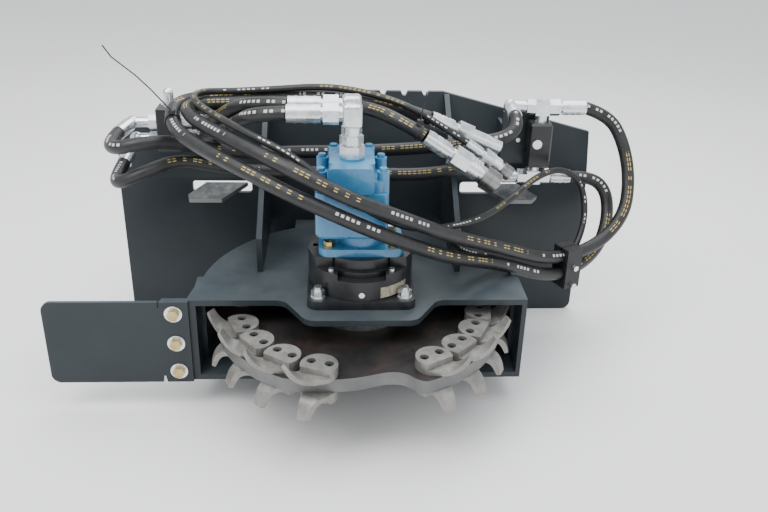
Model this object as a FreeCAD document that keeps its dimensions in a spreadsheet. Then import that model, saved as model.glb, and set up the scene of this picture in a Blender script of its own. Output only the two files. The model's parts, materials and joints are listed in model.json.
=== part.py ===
import FreeCAD, Part
import math
import os

# A stump grinder for a skid-steer loader: a bolted-and-welded housing on a loader plate, a vertical
# spindle driven by a hydraulic gear motor, a toothed disc, two valve blocks, hoses and couplers.
# Shapes are built with the spindle's axis at X = Y = 0 and the housing's underside at Z = 0. Every node
# is then placed so that the origin is the centre of the loader plate's flat rear face.

V = FreeCAD.Vector
Z_AXIS = V(0, 0, 1)

doc = FreeCAD.newDocument("StumpGrinder")
sheet = doc.addObject("Spreadsheet::Sheet", "Dimensions")

DIMENSIONS = [
    ("plate_width", 1140), ("plate_thickness", 12), ("plate_front_y", 351), ("plate_bottom_z", -65),
    ("plate_bend_z", 300), ("plate_top_z", 503), ("plate_lean_deg", 15), ("housing_half_width", 346),
    ("side_thickness", 10), ("side_length", 107), ("front_y", -67), ("deck_top_z", 190),
    ("deck_thickness", 12.7), ("floor_thickness", 12), ("rear_radius", 336), ("rear_thickness", 8),
    ("bulge_y", -151), ("flange_square", 218.5), ("flange_thickness", 18.5),
    ("stud_spacing", 174), ("carrier_radius", 107.6), ("parting_z", 239), ("cover_top_z", 284),
    ("disc_radius", 300), ("disc_bottom_z", 103), ("disc_thickness", 28), ("tooth_circle", 260),
    ("tooth_radius", 36), ("tooth_height", 22), ("hose_diameter", 29), ("drain_diameter", 14.5),
]
for row, (name, value) in enumerate(DIMENSIONS, 1):
    sheet.set("A%d" % row, name)
    sheet.set("B%d" % row, str(value))
    sheet.setAlias("B%d" % row, name)
doc.recompute()


def dim(name):
    """Reads one driving dimension."""
    return float(sheet.get(name))


PLATE_T = dim("plate_thickness")
PLATE_Y = dim("plate_front_y")
PLATE_BOTTOM = dim("plate_bottom_z")
BEND = dim("plate_bend_z")
LEAN = math.radians(dim("plate_lean_deg"))
HALF = dim("housing_half_width")
FRONT = dim("front_y")
DECK_TOP = dim("deck_top_z")
DECK_LOW = DECK_TOP - dim("deck_thickness")
FLOOR_T = dim("floor_thickness")
REAR_R = dim("rear_radius")
CARRIER_R = dim("carrier_radius")
PARTING = dim("parting_z")
COVER_TOP = dim("cover_top_z")
DISC_LOW = dim("disc_bottom_z")
DISC_TOP = DISC_LOW + dim("disc_thickness")
HOSE_D = dim("hose_diameter")
DRAIN_D = dim("drain_diameter")
ORIGIN = FreeCAD.Placement(V(0, -PLATE_Y - PLATE_T, -(PLATE_BOTTOM + BEND) / 2), FreeCAD.Rotation())

nodes = []


def node(name, shape):
    """Adds one sub-part and places it in the shared frame."""
    obj = doc.addObject("Part::Feature", name)
    obj.Label = name
    obj.Shape = shape
    obj.Placement = ORIGIN.multiply(shape.Placement)
    nodes.append(obj)
    return obj


def box(x0, x1, y0, y1, z0, z1):
    return Part.makeBox(x1 - x0, y1 - y0, z1 - z0, V(x0, y0, z0))


def cyl(radius, x, y, z0, z1):
    return Part.makeCylinder(radius, z1 - z0, V(x, y, z0), Z_AXIS)


def rod(radius, start, end):
    """A round bar between two points."""
    start, end = V(*start), V(*end)
    return Part.makeCylinder(radius, (end - start).Length, start, end - start)


def ring(outer, inner, x, y, z0, z1):
    return cyl(outer, x, y, z0, z1).cut(cyl(inner, x, y, z0 - 1, z1 + 1))


def prism(points, direction):
    """Extrudes a closed polygon of 3-D points."""
    wire = Part.makePolygon([V(*p) for p in points + points[:1]])
    return Part.Face(wire).extrude(V(*direction))


def hexagon(across_flats, start, end):
    """A hexagonal bar between two points."""
    start, end = V(*start), V(*end)
    radius = across_flats / math.sqrt(3)
    corners = []
    for k in range(6):
        angle = math.radians(60 * k)
        corners.append((radius * math.cos(angle), radius * math.sin(angle), 0))
    bar = prism(corners, (0, 0, (end - start).Length))
    bar.Placement = FreeCAD.Placement(start, FreeCAD.Rotation(Z_AXIS, end - start))
    return bar


def join(shapes):
    """Fuses touching shapes into one clean solid."""
    return shapes[0].fuse(shapes[1:]).removeSplitter()


def several(shapes):
    return Part.makeCompound(shapes)


def round_uprights(shape, radius):
    """Rounds every vertical straight edge of a block."""
    edges = []
    for edge in shape.Edges:
        if len(edge.Vertexes) == 2 and type(edge.Curve).__name__ == "Line":
            run = edge.Vertexes[1].Point - edge.Vertexes[0].Point
            if abs(run.x) < 0.01 and abs(run.y) < 0.01:
                edges.append(edge)
    return shape.makeFillet(radius, edges)


def turned(shape, degrees):
    """A copy of the shape turned about the spindle's axis."""
    copy = shape.copy()
    copy.rotate(V(0, 0, 0), Z_AXIS, degrees)
    return copy


def polar(radius, degrees, z=0.0):
    return V(radius * math.cos(math.radians(degrees)), radius * math.sin(math.radians(degrees)), z)


# ---------------------------------------------------------------- loader plate
def plate_slab():
    """The bent plate's cross-section carried right across, before its outline is cut."""
    top = dim("plate_top_z") + 20
    tan_lean = math.tan(LEAN)
    rear_bend = BEND - PLATE_T * math.tan(LEAN / 2)
    rear = PLATE_Y + PLATE_T
    profile = [
        (0, PLATE_Y, PLATE_BOTTOM), (0, rear, PLATE_BOTTOM), (0, rear, rear_bend),
        (0, rear + tan_lean * (top - rear_bend), top), (0, PLATE_Y + tan_lean * (top - BEND), top),
        (0, PLATE_Y, BEND),
    ]
    width = dim("plate_width")
    return prism([(-width / 2, y, z) for _, y, z in profile], (width, 0, 0))


def plate_outline():
    """The plate seen from the front, with the step teeth along the middle of its top edge."""
    half = dim("plate_width") / 2
    top = dim("plate_top_z")
    pitch = 51
    points = [(-half, 0, PLATE_BOTTOM), (half, 0, PLATE_BOTTOM), (half, 0, 414), (207, 0, top)]
    for k in range(7):
        x = 207 - pitch * k - 34
        points += [(x, 0, top), (x - 5, 0, top - 10), (x - 12, 0, top - 10), (x - 17, 0, top)]
    points += [(-207, 0, top), (-half, 0, 414)]
    shape = prism(points, (0, 600, 0))
    return shape


def mount_plate():
    plate = plate_slab().common(plate_outline())
    lower = []
    for edge in plate.Edges:
        a, b = edge.Vertexes[0].Point, edge.Vertexes[-1].Point
        if a.z < PLATE_BOTTOM + 0.1 and b.z < PLATE_BOTTOM + 0.1 and abs(a.x - b.x) < 0.1:
            lower.append(edge)
    plate = plate.makeFillet(22, lower)
    for side in (-1, 1):
        x0, x1 = sorted((side * 255, side * 397))
        window = round_edges_y(box(x0, x1, PLATE_Y - 5, PLATE_Y + 30, 262, 292), 8)
        plate = plate.cut(window)
    return plate


def round_edges_y(shape, radius):
    """Rounds the edges that run along Y."""
    edges = []
    for edge in shape.Edges:
        run = edge.Vertexes[1].Point - edge.Vertexes[0].Point
        if abs(run.x) < 0.01 and abs(run.z) < 0.01:
            edges.append(edge)
    return shape.makeFillet(radius, edges)


LEDGE_CORNERS = {
    -1: [(-264, 0), (-363, 0), (-402, -45), (-398, -60), (-321, -60)],
    1: [(298, 0), (397, 0), (438, -45), (424, -60), (361, -60)],
}


def latch_ledge(side):
    """A skewed hood that slopes down and forward from the upper lip of a window."""
    tab = prism([(x, y, 0) for x, y in LEDGE_CORNERS[side]], (0, 0, 12))
    tab.rotate(V(0, 0, 0), V(1, 0, 0), 21)
    tab.translate(V(0, PLATE_Y, 279))
    return tab.cut(box(-600, 600, PLATE_Y, PLATE_Y + 40, 200, 320))


def gusset(side):
    """An upright stiffener from the deck up to the plate's top."""
    x0 = side * 215 - 6
    lean_y = PLATE_Y + math.tan(LEAN) * (498 - BEND)
    profile = [(x0, 62, DECK_TOP), (x0, 62, 268), (x0, lean_y - 12, 498), (x0, lean_y, 498),
               (x0, PLATE_Y, BEND), (x0, PLATE_Y, DECK_TOP)]
    return prism(profile, (12, 0, 0))


node("mount_plate", mount_plate())
node("latch_ledge_left", latch_ledge(-1))
node("latch_ledge_right", latch_ledge(1))
node("gusset_left", gusset(-1))
node("gusset_right", gusset(1))


# ---------------------------------------------------------------- housing
def bend(before, corner, after, trim):
    """The arc that rounds a corner, tangent to both runs, and its radius."""
    into = (corner - before).normalize()
    out = (after - corner).normalize()
    half_turn = into.getAngle(out) / 2
    radius = trim / math.tan(half_turn)
    start, end = corner - into * trim, corner + out * trim
    middle = corner + (out - into).normalize() * (radius / math.cos(half_turn) - radius)
    return start, Part.Arc(start, middle, end), end, radius


def front_edge():
    """The deck's front edge, with a sloping flank on each side of the bulge."""
    foot, crest, trim = 157, 108.5, 17.3
    bulge = dim("bulge_y")
    plan = [(-HALF, FRONT), (-foot, FRONT), (-crest, bulge), (crest, bulge), (foot, FRONT),
            (HALF, FRONT)]
    points = [V(x, y, 0) for x, y in plan]
    curves = []
    previous = points[0]
    for k in range(1, len(points) - 1):
        start, arc, end, _ = bend(points[k - 1], points[k], points[k + 1], trim)
        curves += [Part.LineSegment(previous, start), arc]
        previous = end
    curves.append(Part.LineSegment(previous, points[-1]))
    return curves


def deck_curves(bulged):
    """The plan outline shared by the deck and the floor."""
    side_end = FRONT + dim("side_length")
    rear_x = math.sqrt(REAR_R ** 2 - side_end ** 2)
    line = Part.LineSegment
    curves = front_edge() if bulged else [line(V(-HALF, FRONT, 0), V(HALF, FRONT, 0))]
    curves.append(line(V(HALF, FRONT, 0), V(HALF, side_end, 0)))
    curves.append(line(V(HALF, side_end, 0), V(rear_x, side_end, 0)))
    tail_x = 150
    tail_y = math.sqrt(REAR_R ** 2 - tail_x ** 2)
    half_way = polar(REAR_R, 40)
    curves.append(Part.Arc(V(rear_x, side_end, 0), half_way, V(tail_x, tail_y, 0)))
    curves.append(line(V(tail_x, tail_y, 0), V(tail_x, PLATE_Y, 0)))
    curves.append(line(V(tail_x, PLATE_Y, 0), V(-tail_x, PLATE_Y, 0)))
    curves.append(line(V(-tail_x, PLATE_Y, 0), V(-tail_x, tail_y, 0)))
    curves.append(Part.Arc(V(-tail_x, tail_y, 0), V(-half_way.x, half_way.y, 0), V(-rear_x, side_end, 0)))
    curves.append(line(V(-rear_x, side_end, 0), V(-HALF, side_end, 0)))
    curves.append(line(V(-HALF, side_end, 0), V(-HALF, FRONT, 0)))
    return curves


def origin_plane(body, role):
    for feature in body.Origin.OriginFeatures:
        if feature.Role == role:
            return feature
    raise ValueError(role)


def deck_body():
    """The deck as a padded sketch with the spindle opening and four stud holes pocketed through it."""
    body = doc.addObject("PartDesign::Body", "deck_plate")
    body.Label = "deck_plate"
    plane = origin_plane(body, "XY_Plane")
    outline = body.newObject("Sketcher::SketchObject", "DeckOutline")
    outline.AttachmentSupport = [(plane, "")]
    outline.MapMode = "FlatFace"
    outline.addGeometry(deck_curves(True), False)
    pad = body.newObject("PartDesign::Pad", "DeckPad")
    pad.Profile = outline
    pad.setExpression("Length", "Dimensions.deck_thickness")
    holes = body.newObject("Sketcher::SketchObject", "DeckHoles")
    holes.AttachmentSupport = [(plane, "")]
    holes.MapMode = "FlatFace"
    stud = dim("stud_spacing") / 2
    circles = [Part.Circle(V(0, 0, 0), Z_AXIS, 70.5)]
    for x in (-stud, stud):
        for y in (-stud, stud):
            circles.append(Part.Circle(V(x, y, 0), Z_AXIS, 8.5))
    holes.addGeometry(circles, False)
    pocket = body.newObject("PartDesign::Pocket", "DeckPocket")
    pocket.Profile = holes
    pocket.Type = 1
    pocket.Midplane = True
    body.Placement = ORIGIN.multiply(FreeCAD.Placement(V(0, 0, DECK_LOW), FreeCAD.Rotation()))
    doc.recompute()
    print("deck pocket removed", round(pad.Shape.Volume - pocket.Shape.Volume), "mm3")
    nodes.append(body)


def side_wall(name, x_expression):
    """A flat side plate, its sizes bound to the sheet."""
    wall = doc.addObject("Part::Box", name)
    wall.Label = name
    wall.setExpression("Length", "Dimensions.side_thickness")
    wall.setExpression("Width", "Dimensions.side_length")
    wall.setExpression("Height",
                       "Dimensions.deck_top_z - Dimensions.deck_thickness - Dimensions.floor_thickness")
    wall.setExpression("Placement.Base.x", x_expression)
    wall.setExpression("Placement.Base.y",
                       "Dimensions.front_y - Dimensions.plate_front_y - Dimensions.plate_thickness")
    wall.setExpression("Placement.Base.z",
                       "Dimensions.floor_thickness - (Dimensions.plate_bottom_z + Dimensions.plate_bend_z) / 2")
    nodes.append(wall)


def rear_wall():
    """The rolled half-round wall behind the disc."""
    wall = ring(REAR_R, REAR_R - dim("rear_thickness"), 0, 0, FLOOR_T, DECK_LOW)
    return wall.common(box(-400, 400, 0, 400, 0, 200))


def floor_plate():
    face = Part.Face(Part.Wire([curve.toShape() for curve in deck_curves(False)]))
    return face.extrude(V(0, 0, FLOOR_T))


deck_body()
side_wall("side_wall_left", "-Dimensions.housing_half_width")
side_wall("side_wall_right", "Dimensions.housing_half_width - Dimensions.side_thickness")
node("rear_wall", rear_wall())
node("floor_plate", floor_plate())


# ---------------------------------------------------------------- deflector wing
WING_BOLTS = [(-380, 164), (-379, 95), (-378, 28)]


def wing_bracket():
    """The welded flange beside the housing with the small stiffener behind it."""
    flange = box(-405, -HALF, FRONT, FRONT + 10, 0, DECK_TOP)
    for x, z in WING_BOLTS:
        flange = flange.cut(rod(7.5, (x, FRONT - 5, z), (x, FRONT + 20, z)))
    rib = prism([(-354, FRONT + 10, DECK_TOP - 8), (-HALF, FRONT + 10, DECK_TOP - 8),
                 (-HALF, FRONT + 60, DECK_TOP - 8)], (0, 0, 8))
    return join([flange, rib])


def deflector_wing():
    """One flat plate bolted to the front of the flange, with a relief slit at its top and bottom edge."""
    panel = round_edges_y(box(-642, -420, FRONT - 8, FRONT, 0, DECK_TOP), 20)
    panel = panel.fuse(box(-470, -350, FRONT - 8, FRONT, 0, DECK_TOP)).removeSplitter()
    panel = panel.cut(box(-411, -408, FRONT - 9, FRONT + 1, 178, DECK_TOP + 1))
    panel = panel.cut(prism([(-413, FRONT - 9, -1), (-404, FRONT - 9, -1), (-407, FRONT - 9, 15),
                             (-411, FRONT - 9, 15)], (0, 10, 0)))
    for x, z in WING_BOLTS:
        panel = panel.cut(rod(7.5, (x, FRONT - 10, z), (x, FRONT + 5, z)))
    return panel


def wing_washers():
    rings = []
    for x, z in WING_BOLTS:
        blank = rod(18, (x, FRONT - 11, z), (x, FRONT - 8, z))
        rings.append(blank.cut(rod(7.2, (x, FRONT - 12, z), (x, FRONT - 7, z))))
    return several(rings)


def wing_bolts():
    pieces = []
    for x, z in WING_BOLTS:
        y = FRONT - 8
        head = hexagon(22, (x, y - 12, z), (x, y - 3, z))
        shank = rod(7, (x, y - 3, z), (x, y + 34, z))
        nut = hexagon(22, (x, y + 18, z), (x, y + 30, z))
        pieces.append(join([head, shank, nut]))
    return several(pieces)


node("wing_bracket", wing_bracket())
node("deflector_wing", deflector_wing())
node("wing_washers", wing_washers())
node("wing_bolts", wing_bolts())


# ---------------------------------------------------------------- spindle carrier
FLANGE_TOP = DECK_TOP + dim("flange_thickness")
LUG_X = 84


def spindle_housing():
    half = dim("flange_square") / 2
    flange = round_uprights(box(-half, half, -half, half, DECK_TOP, FLANGE_TOP), 22)
    body = join([flange, cyl(CARRIER_R, 0, 0, FLANGE_TOP, PARTING), cyl(70, 0, 0, 150, DECK_TOP)])
    bores = [cyl(50, 0, 0, 149, 186), cyl(44, 0, 0, 180, 215), cyl(50, 0, 0, 208, 240)]
    for bore in bores:
        body = body.cut(bore)
    stud = dim("stud_spacing") / 2
    for x in (-stud, stud):
        for y in (-stud, stud):
            body = body.cut(cyl(8.5, x, y, DECK_TOP - 1, FLANGE_TOP + 1))
    return body


def spindle_cover():
    """The upper ring, with an arched recess in front and two lugs that carry the motor."""
    ring_low = cyl(CARRIER_R, 0, 0, PARTING, 262)
    drum = cyl(78, 0, 0, 262, COVER_TOP)
    lugs = []
    for side in (-1, 1):
        lug = box(-26, 26, -58, 58, 262, COVER_TOP)
        lug.translate(V(side * LUG_X, 0, 0))
        lugs.append(lug.common(cyl(CARRIER_R, 0, 0, 262, COVER_TOP)))
    body = join([ring_low, drum] + lugs)
    for cavity in (cyl(52, 0, 0, 230, 268), cyl(20, 0, 0, 260, 290)):
        body = body.cut(cavity)
    recess = ring(120, 88, 0, 0, 250, 264).common(box(-48, 48, -130, 0, 240, 270))
    body = body.cut(recess)
    for side in (-1, 1):
        body = body.cut(cyl(7, side * 92, 0, 255, 290))
        for y in (-42, 42):
            body = body.cut(cyl(6.3, side * 65, y, 255, 290))
    return body


def spindle_bolts():
    """The four studs with nuts and washers, the cover's screws and the grease plug in front."""
    pieces = []
    stud = dim("stud_spacing") / 2
    for x in (-stud, stud):
        for y in (-stud, stud):
            parts = [cyl(8, x, y, DECK_LOW - 14, FLANGE_TOP + 24), cyl(15, x, y, FLANGE_TOP, FLANGE_TOP + 3)]
            parts.append(hexagon(24, (x, y, FLANGE_TOP + 3), (x, y, FLANGE_TOP + 16)))
            parts.append(hexagon(24, (x, y, DECK_LOW - 12), (x, y, DECK_LOW)))
            pieces.append(join(parts))
    for angle in (-52, -128, 52, 128):
        spot = polar(98, angle)
        pieces.append(cyl(6, spot.x, spot.y, 262, 268))
    plug = hexagon(11, (0, -CARRIER_R - 4, 224), (0, -CARRIER_R + 0.6, 224))
    pieces.append(plug.cut(cyl(CARRIER_R, 0, 0, 200, 240)))
    return several(pieces)


def bearing_cups():
    cups = []
    for z0 in (160, 208):
        cups.append(ring(50, 42, 0, 0, z0, z0 + 26))
    return several(cups)


def bearing_cones():
    cones = []
    for z0 in (161, 209):
        inner = ring(37, 30, 0, 0, z0, z0 + 24)
        for k in range(16):
            angle = math.radians(22.5 * k)
            inner = inner.fuse(cyl(3.2, 38.5 * math.cos(angle), 38.5 * math.sin(angle), z0 + 2, z0 + 22))
        cones.append(inner)
    return several(cones)


def spindle_shaft():
    """The stepped shaft with the disc's hub flange at its lower end and a socket on top."""
    shaft = join([cyl(92, 0, 0, DISC_TOP, 148), cyl(35, 0, 0, 148, 161), cyl(30, 0, 0, 161, 262),
                  cyl(45, 0, 0, DISC_LOW, DISC_TOP)])
    socket = cyl(16, 0, 0, 215, 263)
    for k in range(6):
        angle = math.radians(60 * k)
        shaft = shaft.cut(cyl(5.5, 70 * math.cos(angle), 70 * math.sin(angle), DISC_TOP - 1, 149))
    return shaft.cut(socket)


node("spindle_housing", spindle_housing())
node("spindle_cover", spindle_cover())
node("spindle_bolts", spindle_bolts())


label = ring(CARRIER_R + 0.5, CARRIER_R, 0, 0, 213, 236).common(box(38, 90, -120, 0, 200, 240))
node("blank_label", label)
node("bearing_cups", bearing_cups())
node("shaft_seal", ring(50, 35.05, 0, 0, 150, 160))
node("bearing_cones", bearing_cones())
node("spindle_shaft", spindle_shaft())
node("shaft_locknut", ring(42, 30, 0, 0, 236, 247))


# ---------------------------------------------------------------- cutter disc and teeth
LEFT_HAND = [201, 217, 234, 251.5]
RIGHT_HAND = [301.5, 317.5, 333.5, 349.5]


def both_halves(angles):
    return angles + [angle - 180 for angle in angles]


def disc_half_edges(turn):
    """Half of the disc's rim: a relieved run, the step back out, and a plain arc."""
    radius = dim("disc_radius")
    relief = [(240, radius), (246, 291), (260, 270), (273, 254), (283, 249), (288, 262), (291, 288),
              (294, radius)]
    curve = Part.BSplineCurve()
    curve.interpolate([polar(r, a + turn) for a, r in relief])
    arc = Part.Arc(polar(radius, 294 + turn), polar(radius, 357 + turn), polar(radius, 420 + turn))
    return [curve.toShape(), arc.toShape()]


def cutter_disc():
    wire = Part.Wire(disc_half_edges(0) + disc_half_edges(180))
    disc = Part.Face(wire).extrude(V(0, 0, dim("disc_thickness")))
    disc.translate(V(0, 0, DISC_LOW))
    holes = [cyl(45, 0, 0, DISC_LOW - 1, DISC_TOP + 1)]
    for k in range(6):
        spot = polar(70, 60 * k)
        holes.append(cyl(5.5, spot.x, spot.y, DISC_LOW - 1, DISC_TOP + 1))
    for angle in (123, 303):
        spot = polar(196, angle)
        holes.append(cyl(10, spot.x, spot.y, DISC_LOW - 1, DISC_TOP + 1))
    for x, y in tooth_holes():
        holes.append(cyl(6.3, x, y, DISC_LOW - 1, DISC_TOP + 1))
    return disc.cut(Part.makeCompound(holes))


def tooth_holes():
    """Plan positions of the two bolts in every tooth."""
    spots = []
    for angle in both_halves(LEFT_HAND + RIGHT_HAND):
        for offset in (-18, 18):
            local = V(dim("tooth_circle") - 7, offset, 0)
            spot = FreeCAD.Rotation(Z_AXIS, angle).multVec(local)
            spots.append((spot.x, spot.y))
    return spots


# Outer and inner curve of the finger, as reach and rise, from the root to the tip and back.
LONG_CURL = ([(38, 0), (52, 5), (64, 15), (73, 33)], [(67, 37), (57, 21), (46, 12), (34, 9)])
STEEP_CURL = ([(38, 0), (49, 7), (57, 19), (63, 39)], [(56, 40.5), (48, 24), (41, 14), (30, 9)])
FINGER_PLAN = [(0, -24), (36, -14), (76, -8), (76, 8), (60, 13), (42, 22), (24, 32), (0, 35)]


def finger(curl_rows, hand):
    """The curled cutting finger along +X. Its broad side follows the head's outer rim."""
    outer, inner = curl_rows
    edges = []
    for row in (outer, inner):
        curl = Part.BSplineCurve()
        curl.interpolate([V(u, -40, w) for u, w in row])
        edges.append(curl.toShape())
    outline = ([outer[-1], inner[0]], [inner[-1], (0, 9)], [(0, 9), (0, 0)], [(0, 0), outer[0]])
    for (u0, w0), (u1, w1) in outline:
        edges.append(Part.makeLine(V(u0, -40, w0), V(u1, -40, w1)))
    bar = Part.Face(Part.Wire(Part.__sortEdges__(edges))).extrude(V(0, 80, 0))
    return bar.common(prism([(u, hand * v, -5) for u, v in FINGER_PLAN], (0, 0, 60)))


def tooth(swing, hand, upper):
    """One tooth on the +X axis: a round head with a chord step and the curled finger."""
    radius, height, centre = dim("tooth_radius"), dim("tooth_height"), dim("tooth_circle")
    head = cyl(radius, 0, 0, 0, height)
    head = head.cut(box(19, 50, -50, 50, 9, height + 1))
    blade = finger(LONG_CURL if upper else STEEP_CURL, hand)
    blade.rotate(V(0, 0, 0), Z_AXIS, swing)
    body = join([head, blade])
    for offset in (-18, 18):
        body = body.cut(cyl(6.3, -7, offset, -60, 60)).cut(cyl(9, -7, offset, 10, 60))
    if not upper:
        body = body.mirror(V(0, 0, 0), V(0, 0, 1))
    body.translate(V(centre, 0, DISC_TOP if upper else DISC_LOW))
    return body


def teeth(swing, hand, upper, angles):
    one = tooth(swing, hand, upper)
    return several([turned(one, angle) for angle in both_halves(angles)])


def tooth_bolts():
    """Each bolt clamps an upper and a lower tooth through the disc."""
    pieces = []
    for x, y in tooth_holes():
        head = cyl(8.6, x, y, DISC_TOP + 10, DISC_TOP + 18).cut(
            hexagon(8, (x, y, DISC_TOP + 13), (x, y, DISC_TOP + 19)))
        shank = cyl(6, x, y, DISC_LOW - 10, DISC_TOP + 10)
        pieces.append(join([head, shank, cyl(8.6, x, y, DISC_LOW - 18, DISC_LOW - 10)]))
    return several(pieces)


def hub_bolts():
    """The lower clamp plate and the six bolts that hold the disc to the hub."""
    pieces = [cyl(88, 0, 0, DISC_LOW - 12, DISC_LOW)]
    for k in range(6):
        spot = polar(70, 60 * k)
        pieces.append(cyl(5.5, spot.x, spot.y, DISC_LOW, 148))
        pieces.append(hexagon(17, (spot.x, spot.y, DISC_LOW - 20), (spot.x, spot.y, DISC_LOW - 12)))
    return join(pieces)


node("cutter_disc", cutter_disc())
node("hub_clamp", hub_bolts())
node("teeth_upper_left_hand", teeth(-45, 1, True, LEFT_HAND))
node("teeth_upper_right_hand", teeth(40, -1, True, RIGHT_HAND))
node("teeth_lower_left_hand", teeth(-14, 1, False, LEFT_HAND))
node("teeth_lower_right_hand", teeth(0, -1, False, RIGHT_HAND))
node("tooth_bolts", tooth_bolts())


# ---------------------------------------------------------------- gear motor
GEAR_PITCH = 20.0
IDLER_X = -40.0
PORTS = [(-20, -25), (-20, 35)]


def gear(x, phase):
    """A ten-tooth gear with a little backlash, standing on its own journals."""
    points = []
    for k in range(10):
        for radius, offset in ((15.6, -9.5), (20, -7.4), (23.6, -3.4), (23.6, 3.4), (20, 7.4), (15.6, 9.5)):
            spot = polar(radius, 36 * k + offset + phase, 346.3)
            points.append((spot.x, spot.y, spot.z))
    wheel = prism(points, (0, 0, 69.4))
    wheel.translate(V(x, 0, 0))
    return wheel


def motor_body():
    """The cast case on its flange, bored for the gears and their journals."""
    flange = round_uprights(box(-86, 86, -60, 60, COVER_TOP, 300), 22)
    neck = join([cyl(52, 0, 0, 300, 332), box(-66, 50, -27, 27, 300, 332)])
    case = round_uprights(box(-92, 52, -80, 70, 330, 425), 20)
    lower = [edge for edge in case.Edges if all(abs(corner.Z - 330) < 0.1 for corner in edge.Vertexes)]
    case = case.makeFillet(9, lower)
    body = join([flange, neck, case])
    cuts = [cyl(16.05, 0, 0, 280, 347), cyl(24, 0, 0, 346, 416), cyl(24, IDLER_X, 0, 346, 416)]
    cuts += [cyl(12.05, 0, 0, 415, 426), cyl(12.05, IDLER_X, 0, 415, 426), cyl(12.05, IDLER_X, 0, 325, 347)]
    for x in (-65, 65):
        for y in (-42, 42):
            cuts.append(cyl(6.3, x, y, 280, 301))
    return body.cut(Part.makeCompound(cuts[:1])).cut(cuts[1]).cut(cuts[2:])


COVER_EARS = [(-80, -58, 466), (40, -58, 466), (-78, 8, 472), (38, 8, 472), (-56, 54, 477), (16, 54, 477)]


def motor_cover():
    """The stepped cover: a raised front face, six ears with painted screws, and two port bosses."""
    lower = round_uprights(box(-86, 46, -74, 64, 425, 450), 18)
    upper = round_uprights(box(-64, 24, -62, 62, 450, 480), 14)
    face = round_edges_y(box(-66, 22, -87, -50, 428, 480), 11)
    bosses = [cyl(24, x, y, 480, 485) for x, y in PORTS]
    ears = [cyl(12, x, y, 425, top) for x, y, top in COVER_EARS]
    cover = join([lower, upper, face] + bosses + ears)
    for x in (0, IDLER_X):
        cover = cover.cut(cyl(12.05, x, 0, 424, 437))
    screws = [hexagon(14, (x, y, top), (x, y, top + 7)).cut(cover) for x, y, top in COVER_EARS]
    return several([cover] + screws)


def motor_bolts():
    pieces = []
    for x in (-65, 65):
        for y in (-42, 42):
            head = [cyl(12, x, y, 300, 302.5), hexagon(18, (x, y, 302.5), (x, y, 312))]
            pieces.append(join(head + [cyl(6, x, y, 264, 300)]))
    return several(pieces)


def drive_gear():
    return join([gear(0, 0), cyl(16, 0, 0, 215, 346.3), cyl(12, 0, 0, 415.7, 436)])


def idler_gear():
    return join([gear(IDLER_X, 18), cyl(12, IDLER_X, 0, 326, 346.3), cyl(12, IDLER_X, 0, 415.7, 436)])


node("motor_body", motor_body())
node("motor_cover", motor_cover())
node("motor_bolts", motor_bolts())
node("drive_gear", drive_gear())
node("idler_gear", idler_gear())


# ---------------------------------------------------------------- fittings and valve blocks
def thick_slab():
    """The loader plate's slab repeated rearward, to cut off what reaches its face."""
    slab = plate_slab()
    for k in range(1, 5):
        slab = slab.fuse(plate_slab().translated(V(0, 11 * k, 0)))
    return slab


def hose_end(face, outward, hose_end_at, across=34, ferrule_r=17.0):
    """A swivel nut, a stem and a crimped ferrule from a port face to the hose's end, along one axis."""
    face, out = V(*face), V(*outward)
    length = hose_end_at

    def at(distance):
        return tuple(face + out * distance)

    nut_end = length * 0.3
    pieces = [hexagon(across, at(0), at(nut_end)), rod(ferrule_r * 0.72, at(nut_end), at(nut_end + 5))]
    pieces.append(rod(ferrule_r, at(nut_end + 5), at(length)))
    for k in range(3):
        start = nut_end + 14 + k * (length - nut_end - 14) / 3
        pieces.append(rod(ferrule_r + 0.8, at(start), at(start + 5)))
    return pieces


def bent_end(port, elbow, hose_start, across, ferrule_r):
    """A nut and stem out of a port, a bend, and a crimped ferrule that ends where the hose starts."""
    port, elbow, hose_start = V(*port), V(*elbow), V(*hose_start)
    out = (elbow - port).normalize()
    onward = (hose_start - elbow).normalize()
    nut_end = port + out * 20
    ferrule_start = elbow + onward * (ferrule_r + 3)
    stem_r = ferrule_r * 0.75
    # The ball's seam faces away from both stems, so neither stem's edge crosses it.
    ball = Part.makeSphere(ferrule_r * 0.92)
    ball.Placement = FreeCAD.Placement(elbow, FreeCAD.Rotation(V(1, 0, 0), out - onward))
    return [hexagon(across, port, nut_end), rod(stem_r, nut_end, elbow), ball,
            rod(stem_r, elbow, ferrule_start), rod(ferrule_r, ferrule_start, hose_start)]


def motor_fittings():
    """A forged elbow with a crimped hose end on each port, and the drain's adaptor low on the side."""
    pieces = []
    for x, y in PORTS:
        elbow = box(x - 19, x + 19, y - 18, y + 18, 542, 589)
        elbow = elbow.makeFillet(8, elbow.Edges)
        stack = [hexagon(42, (x, y, 485), (x, y, 508)), cyl(16, x, y, 508, 511)]
        stack += [hexagon(36, (x, y, 511), (x, y, 527)), cyl(15, x, y, 527, 560), elbow]
        stack.append(rod(14, (x - 15, y, 568), (x - 26, y, 568)))
        stack += hose_end((x - 26, y, 568), (-1, 0, 0), 99, 37, 17.5)
        pieces.append(join(stack))
    drain_nut = hexagon(19, (52, -10, 340), (66, -10, 340))
    pieces.append(join([drain_nut, rod(8.2, (66, -10, 340), (100, -10, 340))]))
    return several(pieces)


def right_block():
    block = box(398, 452, 275, 325, 356, 462)
    return block.makeChamfer(4, block.Edges)


def right_bracket():
    """The bent plate that stands the right block off the loader plate."""
    face = box(342, 452, 325, 333, 350, 478)
    for x, z in ((366, 458), (362, 432)):
        face = face.cut(rod(7, (x, 320, z), (x, 340, z)))
    web = box(342, 350, 333, 440, 350, 445)
    cut_web = web.cut(thick_slab())
    web = sorted(cut_web.Solids, key=lambda solid: solid.CenterOfMass.y)[0]
    return join([face, web])


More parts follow.
